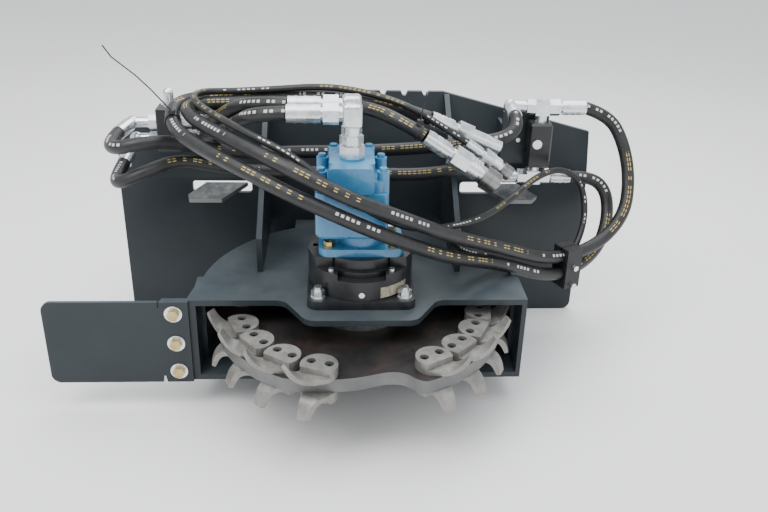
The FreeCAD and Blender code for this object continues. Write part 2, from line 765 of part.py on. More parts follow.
def right_tees():
    top = [cyl(14, 425, 300, 462, 480), box(409, 441, 284, 316, 480, 512)]
    top += hose_end((441, 300, 496), (1, 0, 0), 86, 34, 16.5)
    top += bent_end((409, 300, 496), (350, 300, 500), (349, 232, 494), 32, 16.0)
    bottom = [cyl(14, 420, 300, 342, 356), box(404, 436, 284, 316, 312, 344)]
    bottom += hose_end((436, 300, 328), (1, 0, 0), 74, 34, 16.5)
    bottom += hose_end((404, 300, 328), (-1, 0, 0), 74, 32, 16.0)
    plugs = [rod(11, (417, 271, 415), (417, 275, 415)), rod(5, (382, 321, 410), (382, 325, 410))]
    return several([join(top), join(bottom)] + plugs)


def left_block():
    block = box(-455, -400, 275, 325, 388, 490)
    block = block.makeChamfer(3, block.Edges)
    foot = box(-446, -410, 325, 440, 400, 440)
    foot = sorted(foot.cut(thick_slab()).Solids, key=lambda solid: solid.CenterOfMass.y)[0]
    return join([block, foot])


def relief_cartridge():
    pieces = [hexagon(30, (-427, 300, 490), (-427, 300, 502)), cyl(12, -427, 300, 502, 520)]
    pieces.append(Part.makeSphere(12, V(-427, 300, 520)))
    return join(pieces)


def left_fittings():
    """Four bent hose ends: two reach forward on the outer side, two on the inner side."""
    return several([
        join(bent_end((-455, 300, 452), (-512, 300, 452), (-530, 235, 446), 30, 16.0)),
        join(bent_end((-455, 300, 414), (-507, 300, 414), (-524, 235, 378), 30, 16.0)),
        join(bent_end((-400, 300, 458), (-374, 300, 458), (-345, 251, 467), 30, 16.0)),
        join(bent_end((-400, 300, 420), (-374, 300, 420), (-345, 251, 430), 30, 16.0)),
    ])


node("motor_fittings", motor_fittings())
node("valve_block_right", right_block())
node("valve_bracket", right_bracket())
node("valve_tees", right_tees())
node("valve_block_left", left_block())
node("relief_cartridge", relief_cartridge())
node("left_fittings", left_fittings())


# ---------------------------------------------------------------- hoses
def route_edges(points):
    """Straight runs joined by tangent arcs, and the radius of each arc."""
    points = [V(*p) for p in points]
    edges, radii = [], []
    previous = points[0]
    for k in range(1, len(points) - 1):
        before, corner, after = points[k - 1:k + 2]
        trim = 0.45 * min((corner - before).Length, (after - corner).Length)
        start, arc, end, radius = bend(before, corner, after, trim)
        edges += [Part.LineSegment(previous, start).toShape(), arc.toShape()]
        radii.append(round(radius))
        previous = end
    edges.append(Part.LineSegment(previous, points[-1]).toShape())
    return edges, radii


def tube(points, diameter):
    """A round hose along a route."""
    edges, radii = route_edges(points)
    path = Part.Wire(edges)
    start = V(*points[0])
    heading = (V(*points[1]) - start).normalize()
    section = Part.Wire([Part.Circle(start, heading, diameter / 2).toShape()])
    solid = path.makePipeShell([section], True, False)
    return solid, path.Length, radii


ROUTES = {
    "hose_pressure": [
        (527, 300, 496), (585, 296, 480), (621, 272, 420), (634, 235, 345), (620, 192, 270),
        (553, 162, 205), (435, 107, 196), (310, 44, 256), (192, -40, 318), (82, -108, 386),
        (-25, -132, 437), (-120, -118, 482), (-204, -60, 504), (-275, 12, 514), (-332, 80, 520),
        (-364, 145, 526), (-355, 198, 522), (-305, 222, 519), (-235, 224, 521), (-150, 215, 526),
        (-60, 195, 532), (18, 150, 532), (77, 90, 524), (131, 70, 496)],
    "hose_return": [
        (510, 300, 328), (563, 296, 328), (598, 280, 300), (602, 250, 245), (577, 205, 190),
        (520, 152, 162), (435, 97, 158), (305, 40, 221), (186, -46, 275), (82, -112, 338),
        (-25, -136, 394), (-130, -124, 440), (-228, -70, 472), (-312, 8, 486), (-376, 88, 498),
        (-400, 170, 514), (-385, 238, 520), (-325, 262, 523), (-245, 258, 526), (-150, 246, 531),
        (-60, 230, 535), (28, 194, 535), (91, 160, 527), (150, 150, 510)],
    "hose_drain": [
        (224, 110, 471), (175, 112, 502), (102, 130, 542), (19, 174, 558), (-75, 220, 560),
        (-190, 236, 547), (-285, 238, 541), (-335, 222, 545), (-352, 162, 550), (-322, 96, 544),
        (-258, 14, 536), (-195, -50, 526), (-126, -84, 500), (-40, -102, 432), (70, -96, 366),
        (152, -30, 332), (254, 62, 312), (335, 124, 338), (400, 190, 366), (470, 240, 370),
        (530, 265, 330), (545, 240, 255), (518, 196, 184), (444, 127, 136), (375, 108, 178),
        (300, 88, 218), (225, 42, 246), (182, 8, 296), (145, -8, 337), (100, -10, 340)],
    "hose_motor_front": [
        (-145, -25, 568), (-205, -20, 565), (-240, 48, 532), (-276, 130, 490), (-302, 190, 456),
        (-345, 251, 430)],
    "hose_motor_rear": [
        (-145, 35, 568), (-205, 52, 566), (-262, 112, 540), (-302, 185, 498), (-345, 251, 467)],
    "hose_link_upper": [
        (349, 232, 494), (352, 198, 480), (321, 188, 456), (252, 202, 440), (180, 222, 425),
        (95, 245, 410), (-20, 240, 406), (-130, 235, 406), (-230, 215, 408), (-320, 185, 426),
        (-398, 140, 458), (-455, 105, 464), (-510, 112, 450), (-537, 180, 441), (-530, 235, 446)],
    "hose_link_lower": [
        (330, 300, 328), (290, 275, 352), (228, 178, 388), (130, 175, 374), (30, 180, 374),
        (-80, 185, 374), (-200, 185, 376), (-306, 178, 390), (-388, 160, 412), (-452, 124, 396),
        (-510, 122, 370), (-533, 182, 360), (-524, 235, 378)],
}


def hose_diameter(name):
    return DRAIN_D if name == "hose_drain" else HOSE_D


for hose_name, hose_points in ROUTES.items():
    diameter = hose_diameter(hose_name)
    hose, length, radii = tube(hose_points, diameter)
    expected = math.pi * diameter ** 2 / 4 * length
    share = round(hose.Volume / expected, 4)
    print(hose_name, "length", round(length), "volume ratio", share, "radii", radii)
    node(hose_name, hose)


# ---------------------------------------------------------------- hose clamp and ties
CLAMP_SEAT = FreeCAD.Placement(V(478, 126, 160), FreeCAD.Rotation(Z_AXIS, 25))


def clamp_halves():
    """Two moulded halves around the pair of large hoses, notched where the thin hose passes."""
    block = box(-21, 21, -25, 25, -32, 63)
    block.Placement = CLAMP_SEAT
    for name in ("hose_pressure", "hose_return"):
        block = block.cut(tube(ROUTES[name][4:8], HOSE_D + 1.6)[0])
    block = block.cut(tube(ROUTES["hose_drain"][20:27], DRAIN_D + 1.6)[0])
    slit = box(-30, 30, -1, 1, -35, 70)
    slit.Placement = CLAMP_SEAT
    return [solid for solid in block.cut(slit).Solids if solid.Volume > 5000]


def clamp_bolts():
    bolts = []
    for z in (20, -24.5):
        along = [CLAMP_SEAT.multVec(V(0, y, z)) for y in (-34, -25, 25, 28)]
        bolts.append(join([rod(3.4, along[0], along[3]), hexagon(12, along[0], along[1]),
                           hexagon(12, along[2], along[3])]))
    return several(bolts)


def band(points, index, share, outer, inner, width):
    """A strap around a hose, part of the way along one of its straight runs."""
    a, b = V(*points[index]), V(*points[index + 1])
    heading = (b - a).normalize()
    start = a + (b - a) * share - heading * (width / 2)
    ring = Part.makeCylinder(outer, width, start, heading)
    return ring.cut(Part.makeCylinder(inner, width, start, heading))


def tie_tail(points, radius):
    """The cut-off end of a strap, left standing up."""
    pieces = [rod(radius, a, b) for a, b in zip(points, points[1:])]
    return pieces + [Part.makeSphere(radius, V(*p)) for p in points[1:-1]]


def cable_ties():
    """Two straps with their heads; the left one keeps a long stiff tail."""
    left = band(ROUTES["hose_return"], 14, 0.5, 16.5, 14.6, 5)
    right = band(ROUTES["hose_pressure"], 22, 0.78, 16.5, 14.6, 5)
    left_head = box(-394, -382, 121, 134, 522.5, 529)
    right_head = box(114, 126, 68, 80, 522.5, 529.5)
    long_tail = [(-388, 127, 527), (-426, 122, 574), (-453, 121, 602), (-496, 120, 638), (-511, 120, 661)]
    short_tail = [(120, 74, 527), (131, 76, 587)]
    return several([left, right, join([left_head] + tie_tail(long_tail, 1.4)),
                    join([right_head] + tie_tail(short_tail, 1.2))])


clamp = clamp_halves()
screws = clamp_bolts()
node("clamp_halves", several([half.cut(screws) for half in clamp]))
node("clamp_bolts", screws)
node("cable_ties", cable_ties())


# ---------------------------------------------------------------- couplers
def coupler(name, start, heading, length, crimp_r, flats, barrel_r, sleeved):
    """A flat-face coupler: crimped end, hexagon and barrel, with a spring-loaded face in its mouth."""
    turn = FreeCAD.Rotation(Z_AXIS, V(*heading))

    def lay(shape):
        shape = shape.copy()
        shape.Placement = FreeCAD.Placement(V(*start), turn).multiply(shape.Placement)
        return shape

    def bar(radius, share0, share1):
        return cyl(radius, 0, 0, share0 * length, share1 * length)

    def tyre(outer, inner, share0, share1):
        return bar(outer, share0, share1).cut(bar(inner, share0, share1))

    core_r = barrel_r * 0.72 if sleeved else barrel_r * 0.9
    face_r = core_r * 0.62
    parts = [bar(crimp_r, 0, 0.31), bar(crimp_r * 0.78, 0.31, 0.37), bar(core_r, 0.58, 1.0)]
    parts += [bar(crimp_r + 0.8, share, share + 0.06) for share in (0.04, 0.13, 0.22)]
    parts.append(hexagon(flats, (0, 0, 0.37 * length), (0, 0, 0.58 * length)))
    parts.append(bar(barrel_r, 0.58, 0.72 if sleeved else 0.82))
    solid = join(parts).cut(bar(face_r + 0.05, 0.86, 1.01))
    if sleeved:
        for share in (0.61, 0.65, 0.69):
            solid = solid.cut(tyre(barrel_r + 5, barrel_r - 1.2, share, share + 0.015))
    node("coupler_%s_body" % name, lay(solid))
    if sleeved:
        sleeve = tyre(barrel_r, core_r + 0.2, 0.79, 0.985)
        for share in (0.80, 0.83, 0.86):
            sleeve = sleeve.cut(tyre(barrel_r + 5, barrel_r - 1.0, share, share + 0.015))
        node("coupler_%s_sleeve" % name, lay(sleeve))
    face = bar(face_r, 0.91, 0.997).cut(bar(face_r * 0.55, 0.99, 1.01))
    node("coupler_%s_face" % name, lay(face))


coupler("pressure", (131, 70, 496), (165, 0, -107), 188, 17.0, 42, 22.5, True)
coupler("return", (150, 150, 510), (157, 0, -65), 166, 16.5, 38, 16.5, False)
coupler("drain", (224, 110, 471), (102, 0, -73), 122, 10.8, 30, 16.0, True)


# ---------------------------------------------------------------- checks and files
doc.recompute()
os.makedirs("parts", exist_ok=True)
for obj in nodes:
    if "Invalid" in obj.State or "Error" in obj.State:
        raise RuntimeError("failed: " + obj.Label)
    if obj.Shape.isNull() or not obj.Shape.isValid():
        raise RuntimeError("bad shape: " + obj.Label)
    obj.Shape.exportStep(os.path.join("parts", obj.Label + ".step"))
print(len(nodes), "nodes")
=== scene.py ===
import json
import math

import bmesh
import bpy
from mathutils import Matrix, Vector


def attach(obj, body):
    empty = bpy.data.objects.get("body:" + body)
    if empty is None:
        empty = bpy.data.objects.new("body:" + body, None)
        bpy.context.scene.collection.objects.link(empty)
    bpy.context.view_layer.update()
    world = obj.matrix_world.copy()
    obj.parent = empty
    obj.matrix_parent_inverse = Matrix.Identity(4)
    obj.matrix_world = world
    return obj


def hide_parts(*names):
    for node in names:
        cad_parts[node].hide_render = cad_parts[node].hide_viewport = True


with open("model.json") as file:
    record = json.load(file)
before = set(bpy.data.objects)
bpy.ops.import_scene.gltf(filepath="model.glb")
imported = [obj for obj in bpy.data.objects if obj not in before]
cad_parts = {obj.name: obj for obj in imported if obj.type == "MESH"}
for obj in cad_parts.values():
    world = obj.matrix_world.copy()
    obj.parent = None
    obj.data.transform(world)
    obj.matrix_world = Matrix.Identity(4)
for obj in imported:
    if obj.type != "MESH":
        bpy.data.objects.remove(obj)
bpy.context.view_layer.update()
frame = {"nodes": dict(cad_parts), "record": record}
NODES = frame["nodes"]

# Sizes are written in millimetres with the spindle's axis at x = y = 0 and the housing's underside at
# z = 0, as in the CAD source. The row frame is in metres, from the centre of the loader plate's rear face.
PLATE_REAR_Y = 363.0
FACE_CENTRE_Z = 117.5
FLOOR_Z = -65.0
FLOOR_HALF = 6
FLOOR_GAP = 0.0005


def at(x, y, z):
    """A point given in spindle millimetres, in the row frame."""
    return Vector((x, y - PLATE_REAR_Y, z - FACE_CENTRE_Z)) / 1000


# ---------------------------------------------------------------- camera
CAMERA_AT = at(-52.5, -1554.3, 1003.3)
CAMERA_YAW, CAMERA_PITCH, CAMERA_ROLL = 3.74, 25.57, 1.63
CAMERA_LENS = 38.78
SENSOR_WIDTH = 36
CLIP_END = 50


def make_camera():
    camera = bpy.data.cameras.new("camera")
    camera.lens = CAMERA_LENS
    camera.sensor_width = SENSOR_WIDTH
    camera.clip_end = CLIP_END
    obj = bpy.data.objects.new("camera", camera)
    turn = Matrix.Rotation(math.radians(-CAMERA_YAW), 4, "Z")
    tilt = Matrix.Rotation(math.radians(90 - CAMERA_PITCH), 4, "X")
    roll = Matrix.Rotation(math.radians(CAMERA_ROLL), 4, "Z")
    obj.matrix_world = Matrix.Translation(CAMERA_AT) @ turn @ tilt @ roll
    bpy.context.scene.collection.objects.link(obj)
    bpy.context.scene.camera = obj


make_camera()


# ---------------------------------------------------------------- material writer
class Shader:
    """Writes one material's node tree."""

    def __init__(self, name):
        self.material = bpy.data.materials.new(name)
        self.material.use_nodes = True
        self.tree = self.material.node_tree
        self.tree.nodes.clear()
        self.output = self.node("ShaderNodeOutputMaterial")
        self.surface = self.node("ShaderNodeBsdfPrincipled")
        self.join(self.surface.outputs[0], self.output.inputs[0])
        self.place = self.node("ShaderNodeTexCoord").outputs["Object"]

    def node(self, kind, **settings):
        made = self.tree.nodes.new(kind)
        for key, value in settings.items():
            setattr(made, key, value)
        return made

    def join(self, source, target):
        self.tree.links.new(source, target)

    def feed(self, target, value):
        """Links a socket or sets a plain number or colour."""
        if isinstance(value, bpy.types.NodeSocket):
            self.join(value, target)
        elif isinstance(value, (tuple, list)) and len(value) == 3 and target.type == "RGBA":
            target.default_value = (*value, 1)
        else:
            target.default_value = value

    def sum(self, operation, a, b=0.0, c=0.0, clamp=False):
        made = self.node("ShaderNodeMath", operation=operation, use_clamp=clamp)
        for socket, value in zip(made.inputs, (a, b, c)):
            self.feed(socket, value)
        return made.outputs[0]

    def noise(self, scale, detail=4.0, rough=0.55, stretch=None, seed=0.0):
        made = self.node("ShaderNodeTexNoise", noise_dimensions="4D")
        self.feed(made.inputs["W"], seed)
        self.feed(made.inputs["Scale"], scale)
        self.feed(made.inputs["Detail"], detail)
        self.feed(made.inputs["Roughness"], rough)
        self.join(self.stretched(stretch), made.inputs["Vector"])
        return made.outputs["Fac"]

    def stretched(self, stretch):
        if stretch is None:
            return self.place
        mapping = self.node("ShaderNodeMapping")
        self.join(self.place, mapping.inputs["Vector"])
        mapping.inputs["Scale"].default_value = stretch
        return mapping.outputs[0]

    def step(self, value, low, high, out_low=0.0, out_high=1.0):
        """A smooth ramp from low to high."""
        made = self.node("ShaderNodeMapRange", interpolation_type="SMOOTHSTEP")
        for key, number in (("Value", value), ("From Min", low), ("From Max", high), ("To Min", out_low),
                            ("To Max", out_high)):
            self.feed(made.inputs[key], number)
        return made.outputs[0]

    def mix(self, amount, a, b):
        made = self.node("ShaderNodeMix", data_type="RGBA")
        self.feed(made.inputs[0], amount)
        self.feed(made.inputs[6], a)
        self.feed(made.inputs[7], b)
        return made.outputs[2]

    def facing(self, axis):
        """How far the surface's normal points along X, Y or Z."""
        geometry = self.node("ShaderNodeNewGeometry")
        split = self.node("ShaderNodeSeparateXYZ")
        self.join(geometry.outputs["Normal"], split.inputs[0])
        return split.outputs["XYZ".index(axis)]

    def finish(self, colour, rough, metal=0.0, height=None, depth=0.001, strength=0.5, **plain):
        self.feed(self.surface.inputs["Base Color"], colour)
        self.feed(self.surface.inputs["Roughness"], rough)
        self.feed(self.surface.inputs["Metallic"], metal)
        for key, value in plain.items():
            self.surface.inputs[key.replace("_", " ")].default_value = value
        if height is not None:
            bump = self.node("ShaderNodeBump")
            self.feed(bump.inputs["Height"], height)
            bump.inputs["Distance"].default_value = depth
            bump.inputs["Strength"].default_value = strength
            self.join(bump.outputs[0], self.surface.inputs["Normal"])
        return self.material


# ---------------------------------------------------------------- materials
def slate_paint():
    """Satin powder coat: even colour, faint orange peel, a few rubs and some settled dust, and faces that
    point up painted lighter as painted sky light.
    """
    s = Shader("slate_paint")
    mottle = s.noise(5, 4, 0.55)
    peel = s.noise(420, 2, 0.5)
    rub = s.step(s.noise(9, 7, 0.72, (1, 1, 2.0), 3), 0.63, 0.76)
    scratch = s.step(s.noise(26, 4, 0.7, (0.10, 1.6, 1.6), 5), 0.69, 0.73)
    settled = s.step(s.noise(11, 6, 0.65, None, 8), 0.30, 0.72)
    dust = s.sum("MULTIPLY", s.step(s.facing("Z"), 0.6, 0.98), settled)
    base = s.mix(s.step(mottle, 0.3, 0.7), (0.018, 0.024, 0.028), (0.026, 0.034, 0.040))
    base = s.mix(s.sum("MULTIPLY", rub, 0.30), base, (0.070, 0.080, 0.086))
    base = s.mix(s.sum("MULTIPLY", scratch, 0.35), base, (0.20, 0.21, 0.21))
    # Painted highlight: faces that point up are mixed toward a lighter blue-grey, standing in for sky
    # light falling on them.
    painted_sky_light = s.step(s.facing("Z"), 0.5, 0.98)
    base = s.mix(s.sum("MULTIPLY", painted_sky_light, 0.30), base, (0.095, 0.125, 0.145))
    base = s.mix(s.sum("MULTIPLY", dust, 0.22), base, (0.17, 0.19, 0.20))
    rough = s.sum("ADD", s.step(mottle, 0.3, 0.7, 0.30, 0.38), s.sum("MULTIPLY", dust, 0.12))
    height = s.sum("ADD", s.sum("MULTIPLY", peel, 0.5), s.noise(60, 2, 0.5))
    return s.finish(base, rough, 0.0, height, 0.00025, 0.35, Specular_IOR_Level=0.30)


def worn_paint():
    """The same paint rubbed through to grey metal on a surface that takes knocks."""
    s = Shader("worn_paint")
    wear = s.step(s.noise(24, 8, 0.75, (1, 1, 1), 2), 0.40, 0.62)
    front = s.step(s.sum("MULTIPLY", s.facing("Y"), -1.0), 0.3, 0.8)
    amount = s.sum("MAXIMUM", s.sum("MULTIPLY", wear, 0.55), s.sum("MULTIPLY", front, 0.8))
    base = s.mix(amount, (0.060, 0.070, 0.078), (0.30, 0.30, 0.29))
    base = s.mix(s.sum("MULTIPLY", s.step(s.noise(60, 6, 0.7), 0.55, 0.7), 0.4), base, (0.10, 0.09, 0.08))
    return s.finish(base, 0.42, s.sum("MULTIPLY", amount, 0.5), s.noise(90, 5, 0.7), 0.0006, 0.5)


def motor_paint():
    """Thick blue enamel over a rough casting, chipped to grey in places; faces that point up get a painted
    highlight in lighter blue.
    """
    s = Shader("motor_paint")
    mottle = s.noise(16, 4, 0.6)
    grain = s.noise(190, 4, 0.7)
    chips = s.step(s.noise(46, 7, 0.78, None, 2), 0.672, 0.690)
    drips = s.step(s.noise(40, 5, 0.6, (1, 1, 0.25), 6), 0.45, 0.75)
    base = s.mix(s.step(mottle, 0.3, 0.7), (0.034, 0.165, 0.320), (0.054, 0.225, 0.410))
    base = s.mix(s.sum("MULTIPLY", drips, 0.35), base, (0.010, 0.105, 0.240))
    # Painted highlight: faces that point up are mixed toward a lighter blue, standing in for sky light.
    base = s.mix(s.sum("MULTIPLY", s.step(s.facing("Z"), 0.5, 0.98), 0.30), base, (0.10, 0.36, 0.58))
    base = s.mix(chips, base, (0.24, 0.26, 0.26))
    rough = s.sum("ADD", s.step(mottle, 0.3, 0.7, 0.24, 0.34), s.sum("MULTIPLY", chips, 0.3))
    cast = s.sum("ADD", s.sum("MULTIPLY", grain, 0.5), s.sum("MULTIPLY", mottle, 1.5))
    height = s.sum("SUBTRACT", cast, chips)
    return s.finish(base, rough, 0.0, height, 0.0010, 0.5, Coat_Weight=0.25)


def black_iron():
    """Black paint over a turned casting, with grey scuffs; faces that point up get a painted highlight in
    lighter grey.
    """
    s = Shader("black_iron")
    mottle = s.noise(20, 5, 0.6)
    grain = s.noise(260, 4, 0.7)
    scuff = s.step(s.noise(60, 8, 0.75, None, 4), 0.60, 0.74)
    base = s.mix(s.step(mottle, 0.3, 0.7), (0.006, 0.007, 0.008), (0.016, 0.017, 0.019))
    # Painted highlight: faces that point up are mixed toward a lighter grey, standing in for sky light.
    base = s.mix(s.sum("MULTIPLY", s.step(s.facing("Z"), 0.6, 1.0), 0.30), base, (0.045, 0.050, 0.055))
    base = s.mix(s.sum("MULTIPLY", scuff, 0.35), base, (0.085, 0.085, 0.082))
    height = s.sum("ADD", s.sum("MULTIPLY", grain, 0.5), mottle)
    return s.finish(base, s.step(mottle, 0.3, 0.7, 0.26, 0.42), 0.0, height, 0.0006, 0.4)


def plated(name, low, high, rough_low, rough_high):
    """Zinc plate, with the dull patches, fingerprints and fine turning marks that it has."""
    s = Shader(name)
    patch = s.noise(34, 5, 0.6)
    fine = s.noise(520, 3, 0.6)
    base = s.mix(s.step(patch, 0.32, 0.68), low, high)
    grime = s.step(s.noise(110, 5, 0.7, None, 4), 0.58, 0.74)
    base = s.mix(s.sum("MULTIPLY", grime, 0.45), base, (0.17, 0.155, 0.13))
    rough = s.sum("ADD", s.step(patch, 0.3, 0.7, rough_low, rough_high), s.sum("MULTIPLY", grime, 0.15))
    return s.finish(base, rough, 0.95, fine, 0.0002, 0.35)


def disc_steel():
    """Dark, rust-stained mill scale on the faces and grey ground metal round the rim."""
    s = Shader("disc_steel")
    flat = s.step(s.sum("ABSOLUTE", s.facing("Z")), 0.5, 0.9)
    patch = s.noise(9, 6, 0.65)
    rust = s.step(s.noise(15, 7, 0.7, None, 6), 0.46, 0.68)
    top = s.mix(s.step(patch, 0.35, 0.65), (0.010, 0.010, 0.010), (0.024, 0.021, 0.020))
    top = s.mix(s.sum("MULTIPLY", rust, 0.40), top, (0.050, 0.024, 0.016))
    cloud = s.noise(14, 3, 0.5, None, 9)
    rim = s.mix(s.step(cloud, 0.3, 0.7), (0.120, 0.122, 0.122), (0.165, 0.166, 0.165))
    rim = s.mix(s.sum("MULTIPLY", s.step(s.noise(50, 6, 0.7), 0.52, 0.72), 0.4), rim, (0.12, 0.095, 0.075))
    base = s.mix(flat, rim, top)
    rough = s.sum("ADD", s.step(patch, 0.3, 0.7, 0.38, 0.52), s.sum("MULTIPLY", rust, 0.12))
    height = s.sum("ADD", s.noise(140, 4, 0.6), s.sum("MULTIPLY", rust, 0.6))
    return s.finish(base, rough, s.sum("MULTIPLY", s.sum("SUBTRACT", 1.0, flat), 0.6), height, 0.0006, 0.4)


def cast_teeth():
    """Light grey forged steel: fine pits, tan handling stains, and painted shade in a brownish tone on
    faces that point at the floor.
    """
    s = Shader("cast_teeth")
    patch = s.noise(26, 6, 0.65)
    pits = s.noise(300, 5, 0.75)
    # Painted shade: faces that point at the floor are mixed toward a dark brown.
    painted_underside_shade = s.step(s.facing("Z"), -0.1, 0.9, 1.0, 0.0)
    base = s.mix(s.step(patch, 0.3, 0.7), (0.185, 0.182, 0.172), (0.300, 0.296, 0.284))
    base = s.mix(s.sum("MULTIPLY", painted_underside_shade, 0.25), base, (0.155, 0.125, 0.095))
    stain = s.step(s.noise(55, 7, 0.75, None, 8), 0.50, 0.70)
    base = s.mix(s.sum("MULTIPLY", stain, 0.50), base, (0.120, 0.090, 0.064))
    bright = s.step(s.noise(70, 6, 0.7, None, 3), 0.56, 0.70)
    base = s.mix(s.sum("MULTIPLY", bright, 0.45), base, (0.40, 0.40, 0.39))
    height = s.sum("ADD", s.sum("MULTIPLY", pits, 0.7), patch)
    return s.finish(base, s.step(patch, 0.3, 0.7, 0.34, 0.50), 0.45, height, 0.0009, 0.45)


def plain_steel(name, low, high, rough, metal):
    s = Shader(name)
    patch = s.noise(60, 5, 0.6)
    base = s.mix(s.step(patch, 0.3, 0.7), low, high)
    gloss = s.step(patch, 0.3, 0.7, rough, rough + 0.12)
    return s.finish(base, gloss, metal, s.noise(300, 4, 0.6), 0.0003, 0.4)


def moulded_black():
    s = Shader("moulded_black")
    patch = s.noise(50, 4, 0.6)
    base = s.mix(s.step(patch, 0.3, 0.7), (0.004, 0.004, 0.005), (0.010, 0.010, 0.011))
    return s.finish(base, s.step(patch, 0.3, 0.7, 0.38, 0.55), 0.0, s.noise(500, 3, 0.6), 0.0003, 0.5)


def worn_label():
    s = Shader("worn_label")
    patch = s.noise(60, 6, 0.7)
    scuff = s.step(s.noise(130, 7, 0.75, (1, 1, 0.6), 3), 0.48, 0.60)
    base = s.mix(s.step(patch, 0.3, 0.7), (0.25, 0.215, 0.145), (0.44, 0.40, 0.31))
    base = s.mix(s.sum("MULTIPLY", scuff, 0.75), base, (0.085, 0.070, 0.050))
    return s.finish(base, 0.5, 0.0, s.sum("ADD", patch, scuff), 0.0004, 0.5)


def hose_cover(name, printed):
    """Wrapped rubber. Printed hoses carry rows of plain blocks in yellow and white, with no lettering."""
    s = Shader(name)
    uv = s.node("ShaderNodeTexCoord").outputs["UV"]
    split = s.node("ShaderNodeSeparateXYZ")
    s.join(uv, split.inputs[0])
    along, around = split.outputs[0], split.outputs[1]
    patch = s.noise(40, 5, 0.6)
    wrap = s.noise(700, 3, 0.6)
    base = s.mix(s.step(patch, 0.3, 0.7), (0.007, 0.007, 0.008), (0.017, 0.017, 0.018))
    dust = s.sum("MULTIPLY", s.step(s.noise(90, 6, 0.7, None, 7), 0.54, 0.78), 0.30)
    base = s.mix(dust, base, (0.060, 0.056, 0.050))
    if printed:
        base = add_marks(s, base, along, around)
    height = s.sum("ADD", wrap, s.sum("MULTIPLY", patch, 0.6))
    return s.finish(base, s.step(patch, 0.3, 0.7, 0.36, 0.50), 0.0, height, 0.0007, 0.45)


# The marks' lengths are in metres along the hose; their widths are shares of the way round it.
MARK_REPEAT = 0.46
WHITE_PITCH, WHITE_SHARE, WHITE_HALF_WIDTH, WHITE_END = 0.0105, 0.60, 0.034, 0.105
YELLOW_PITCH, YELLOW_SHARE, YELLOW_ROW, YELLOW_HALF_WIDTH = 0.0110, 0.70, 0.030, 0.012
YELLOW_START, YELLOW_END = 0.150, 0.350
MISSING_SHARE = 0.24
MARK_COVER = 0.85


def add_marks(s, base, along, around):
    """Plain bars in bands along the hose's visible side: one white run, then two thin yellow rows."""
    group = s.sum("MODULO", along, MARK_REPEAT)
    offset = s.sum("ABSOLUTE", s.sum("SUBTRACT", around, 0.5))
    worn = s.step(s.noise(420, 4, 0.7), 0.34, 0.46)
    white = bars(s, along, WHITE_PITCH, WHITE_SHARE)
    white = s.sum("MULTIPLY", white, s.sum("LESS_THAN", offset, WHITE_HALF_WIDTH))
    white = s.sum("MULTIPLY", white, s.sum("LESS_THAN", group, WHITE_END))
    yellow = bars(s, along, YELLOW_PITCH, YELLOW_SHARE)
    off_row = s.sum("ABSOLUTE", s.sum("SUBTRACT", offset, YELLOW_ROW))
    row = s.sum("LESS_THAN", off_row, YELLOW_HALF_WIDTH)
    run = s.sum("MULTIPLY", s.sum("GREATER_THAN", group, YELLOW_START),
                s.sum("LESS_THAN", group, YELLOW_END))
    yellow = s.sum("MULTIPLY", s.sum("MULTIPLY", yellow, row), run)
    base = s.mix(s.sum("MULTIPLY", s.sum("MULTIPLY", white, worn), MARK_COVER), base, (0.62, 0.62, 0.60))
    cover = s.sum("MULTIPLY", s.sum("MULTIPLY", yellow, worn), MARK_COVER)
    return s.mix(cover, base, (0.55, 0.42, 0.12))


def bars(s, along, pitch, share):
    """One for the first share of every pitch along the hose, leaving out about one bar in four."""
    count = s.sum("DIVIDE", along, pitch)
    chance = s.node("ShaderNodeTexWhiteNoise", noise_dimensions="1D")
    s.feed(chance.inputs["W"], s.sum("FLOOR", count))
    present = s.sum("GREATER_THAN", chance.outputs["Value"], MISSING_SHARE)
    return s.sum("MULTIPLY", present, s.sum("LESS_THAN", s.sum("FRACT", count), share))


SLATE = slate_paint()
WORN = worn_paint()
MOTOR = motor_paint()
IRON = black_iron()
ZINC = plated("bright_zinc", (0.62, 0.65, 0.67), (0.84, 0.87, 0.89), 0.20, 0.36)
YELLOW = plated("yellow_zinc", (0.42, 0.31, 0.12), (0.58, 0.48, 0.26), 0.26, 0.42)
DULL = plated("dull_zinc", (0.17, 0.17, 0.17), (0.30, 0.30, 0.29), 0.28, 0.44)
DISC = disc_steel()
TEETH = cast_teeth()
STEEL = plain_steel("ground_steel", (0.30, 0.30, 0.30), (0.48, 0.48, 0.47), 0.26, 0.9)
DARK_BOLT = plain_steel("dark_bolt", (0.030, 0.029, 0.028), (0.075, 0.070, 0.064), 0.42, 0.6)
BLACK = moulded_black()
LABEL = worn_label()
HOSE = hose_cover("hose_printed", True)
HOSE_PLAIN = hose_cover("hose_plain", False)

SLOT_MATERIALS = {
    "frame_paint": SLATE, "motor_paint": MOTOR, "black_iron": IRON, "bright_zinc": ZINC,
    "yellow_zinc": YELLOW, "disc_steel": DISC, "cast_teeth": TEETH, "bearing_steel": STEEL,
    "black_bolts": DARK_BOLT,
    "black_plastic": BLACK, "label_film": LABEL, "seal_rubber": BLACK, "hose_rubber": HOSE_PLAIN,
}
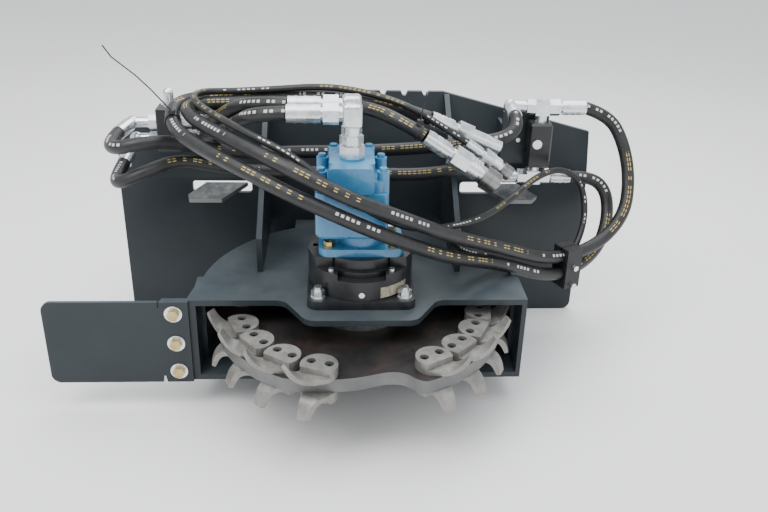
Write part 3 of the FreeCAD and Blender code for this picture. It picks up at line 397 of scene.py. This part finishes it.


# ---------------------------------------------------------------- hoses
# Each hose's route, chosen and repeated from the CAD source; at() puts it in metres.
ROUTES = {
    "hose_pressure": [
        (527, 300, 496), (585, 296, 480), (621, 272, 420), (634, 235, 345), (620, 192, 270),
        (553, 162, 205), (435, 107, 196), (310, 44, 256), (192, -40, 318), (82, -108, 386),
        (-25, -132, 437), (-120, -118, 482), (-204, -60, 504), (-275, 12, 514), (-332, 80, 520),
        (-364, 145, 526), (-355, 198, 522), (-305, 222, 519), (-235, 224, 521), (-150, 215, 526),
        (-60, 195, 532), (18, 150, 532), (77, 90, 524), (131, 70, 496)],
    "hose_return": [
        (510, 300, 328), (563, 296, 328), (598, 280, 300), (602, 250, 245), (577, 205, 190),
        (520, 152, 162), (435, 97, 158), (305, 40, 221), (186, -46, 275), (82, -112, 338),
        (-25, -136, 394), (-130, -124, 440), (-228, -70, 472), (-312, 8, 486), (-376, 88, 498),
        (-400, 170, 514), (-385, 238, 520), (-325, 262, 523), (-245, 258, 526), (-150, 246, 531),
        (-60, 230, 535), (28, 194, 535), (91, 160, 527), (150, 150, 510)],
    "hose_drain": [
        (224, 110, 471), (175, 112, 502), (102, 130, 542), (19, 174, 558), (-75, 220, 560),
        (-190, 236, 547), (-285, 238, 541), (-335, 222, 545), (-352, 162, 550), (-322, 96, 544),
        (-258, 14, 536), (-195, -50, 526), (-126, -84, 500), (-40, -102, 432), (70, -96, 366),
        (152, -30, 332), (254, 62, 312), (335, 124, 338), (400, 190, 366), (470, 240, 370),
        (530, 265, 330), (545, 240, 255), (518, 196, 184), (444, 127, 136), (375, 108, 178),
        (300, 88, 218), (225, 42, 246), (182, 8, 296), (145, -8, 337), (100, -10, 340)],
    "hose_motor_front": [
        (-145, -25, 568), (-205, -20, 565), (-240, 48, 532), (-276, 130, 490), (-302, 190, 456),
        (-345, 251, 430)],
    "hose_motor_rear": [
        (-145, 35, 568), (-205, 52, 566), (-262, 112, 540), (-302, 185, 498), (-345, 251, 467)],
    "hose_link_upper": [
        (349, 232, 494), (352, 198, 480), (321, 188, 456), (252, 202, 440), (180, 222, 425),
        (95, 245, 410), (-20, 240, 406), (-130, 235, 406), (-230, 215, 408), (-320, 185, 426),
        (-398, 140, 458), (-455, 105, 464), (-510, 112, 450), (-537, 180, 441), (-530, 235, 446)],
    "hose_link_lower": [
        (330, 300, 328), (290, 275, 352), (228, 178, 388), (130, 175, 374), (30, 180, 374),
        (-80, 185, 374), (-200, 185, 376), (-306, 178, 390), (-388, 160, 412), (-452, 124, 396),
        (-510, 122, 370), (-533, 182, 360), (-524, 235, 378)],
}
MARK_SIDE = Vector((0, -0.8, 0.6))
HOSE_DIAMETER, DRAIN_DIAMETER = 0.029, 0.0145
HOSE_SIDES = 28
POINT_SPACING = 0.005
SPLINE_STEPS = 24


def add_object(name, mesh, material, body="frame"):
    """Adds a mesh piece with its material and its body."""
    obj = bpy.data.objects.new(name, mesh)
    obj.data.materials.append(material)
    bpy.context.scene.collection.objects.link(obj)
    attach(obj, body)
    return obj


def spline_points(name, route, spacing):
    """Evenly spaced points along the route's NURBS spline."""
    curve = bpy.data.curves.new(name + "_line", "CURVE")
    curve.dimensions = "3D"
    curve.resolution_u = SPLINE_STEPS
    spline = curve.splines.new("NURBS")
    spline.points.add(len(route) - 1)
    for point, place in zip(spline.points, route):
        point.co = (*at(*place), 1)
    spline.order_u = 3
    spline.use_endpoint_u = True
    obj = bpy.data.objects.new(name + "_line", curve)
    mesh = bpy.data.meshes.new_from_object(obj)
    dense = [vertex.co.copy() for vertex in mesh.vertices]
    bpy.data.meshes.remove(mesh)
    bpy.data.objects.remove(obj)
    bpy.data.curves.remove(curve)
    return resample(dense, spacing)


def resample(dense, spacing):
    lengths = [0.0]
    for a, b in zip(dense, dense[1:]):
        lengths.append(lengths[-1] + (b - a).length)
    count = max(2, round(lengths[-1] / spacing))
    points, k = [], 0
    for step in range(count + 1):
        target = lengths[-1] * step / count
        while k < len(dense) - 2 and lengths[k + 1] < target:
            k += 1
        share = (target - lengths[k]) / max(lengths[k + 1] - lengths[k], 1e-9)
        points.append(dense[k].lerp(dense[k + 1], min(max(share, 0.0), 1.0)))
    return points


def tube_mesh(name, points, radius):
    """A tube along points. U is metres along it; V goes once round and is 0.5 on the marked side."""
    mesh = bmesh.new()
    uv_layer = mesh.loops.layers.uv.new("UVMap")
    rings, distances, travelled = [], [], 0.0
    for k, point in enumerate(points):
        if k:
            travelled += (point - points[k - 1]).length
        tangent = (points[min(k + 1, len(points) - 1)] - points[max(k - 1, 0)]).normalized()
        out = (MARK_SIDE - tangent * MARK_SIDE.dot(tangent)).normalized()
        across = tangent.cross(out)
        ring = []
        for j in range(HOSE_SIDES):
            angle = 2 * math.pi * j / HOSE_SIDES
            spoke = across * math.sin(angle) - out * math.cos(angle)
            ring.append(mesh.verts.new(point + spoke * radius))
        rings.append(ring)
        distances.append(travelled)
    for k in range(len(rings) - 1):
        for j in range(HOSE_SIDES):
            n = (j + 1) % HOSE_SIDES
            face = mesh.faces.new((rings[k][j], rings[k][n], rings[k + 1][n], rings[k + 1][j]))
            face.smooth = True
            corners = ((k, j), (k, j + 1), (k + 1, j + 1), (k + 1, j))
            for loop, (row, column) in zip(face.loops, corners):
                loop[uv_layer].uv = (distances[row], column / HOSE_SIDES)
    for ring in (rings[0], rings[-1][::-1]):
        mesh.faces.new(ring)
    bmesh.ops.recalc_face_normals(mesh, faces=mesh.faces)
    data = bpy.data.meshes.new(name)
    mesh.to_mesh(data)
    mesh.free()
    return data, distances[-1]


def make_hose(name, route):
    thin = name == "hose_drain"
    diameter = DRAIN_DIAMETER if thin else HOSE_DIAMETER
    points = spline_points(name, route, POINT_SPACING)
    data, length = tube_mesh(name, points, diameter / 2)
    obj = add_object(name.replace("hose_", "line_"), data, HOSE)
    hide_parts(name)


for hose_name, hose_route in ROUTES.items():
    make_hose(hose_name, hose_route)


# ---------------------------------------------------------------- CAD nodes: finish and softened edges
BEVELS = {"frame_paint": 0.0012, "motor_paint": 0.0022, "black_iron": 0.0012, "disc_steel": 0.0012,
          "cast_teeth": 0.0022, "bright_zinc": 0.0005, "yellow_zinc": 0.0006, "black_plastic": 0.0008}
BEVEL_ANGLE = math.radians(35)
OWN_FINISH = {"latch_ledge_left": WORN, "latch_ledge_right": WORN, "coupler_pressure_sleeve": DULL,
              "coupler_drain_sleeve": DULL}


def dress_nodes():
    slots = {entry["node"]: entry["material_slot"] for entry in frame["record"]["subparts"]}
    for name, obj in NODES.items():
        slot = slots[name]
        obj.data.materials.clear()
        obj.data.materials.append(OWN_FINISH.get(name, SLOT_MATERIALS[slot]))
        if slot in BEVELS and not name.startswith("hose"):
            bevel = obj.modifiers.new("soft_edges", "BEVEL")
            bevel.width = BEVELS[slot]
            bevel.segments = 2
            bevel.limit_method = "ANGLE"
            bevel.angle_limit = BEVEL_ANGLE


dress_nodes()


# ---------------------------------------------------------------- floor and light
def make_floor():
    mesh = bmesh.new()
    bmesh.ops.create_grid(mesh, x_segments=1, y_segments=1, size=FLOOR_HALF)
    data = bpy.data.meshes.new("floor")
    mesh.to_mesh(data)
    mesh.free()
    s = Shader("pale_floor")
    tone = s.mix(s.noise(3, 3, 0.5), (0.90, 0.90, 0.90), (0.93, 0.93, 0.93))
    data.materials.append(s.finish(tone, 0.9))
    floor = bpy.data.objects.new("floor", data)
    floor.location = (0, 0, at(0, 0, FLOOR_Z).z - FLOOR_GAP)
    bpy.context.scene.collection.objects.link(floor)


def area_light(name, place, aim, size, power, colour=(1, 1, 1)):
    light = bpy.data.lights.new(name, "AREA")
    light.shape = "RECTANGLE"
    light.size, light.size_y = size
    light.energy = power
    light.color = colour
    obj = bpy.data.objects.new(name, light)
    obj.location = place
    obj.rotation_euler = (Vector(aim) - Vector(place)).to_track_quat("-Z", "Y").to_euler()
    bpy.context.scene.collection.objects.link(obj)


SKY_COLOUR, SKY_STRENGTH = (0.96, 0.98, 1.0, 1), 1.05


def make_light():
    world = bpy.data.worlds.new("studio")
    world.use_nodes = True
    background = world.node_tree.nodes["Background"]
    background.inputs[0].default_value = SKY_COLOUR
    background.inputs[1].default_value = SKY_STRENGTH
    bpy.context.scene.world = world
    area_light("key", (-1.6, -1.6, 2.6), (0, -0.3, 0.1), (1.6, 1.6), 55, (1.0, 0.98, 0.95))
    area_light("fill", (2.2, -2.2, 1.4), (0, -0.3, 0.1), (2.0, 1.4), 14)
    area_light("sky", (0, -0.5, 3.2), (0, -0.4, 0), (3.4, 3.0), 95, (0.95, 0.98, 1.0))
    area_light("back", (0.6, 1.6, 2.2), (0, -0.2, 0.2), (1.8, 1.0), 30)


make_floor()
make_light()
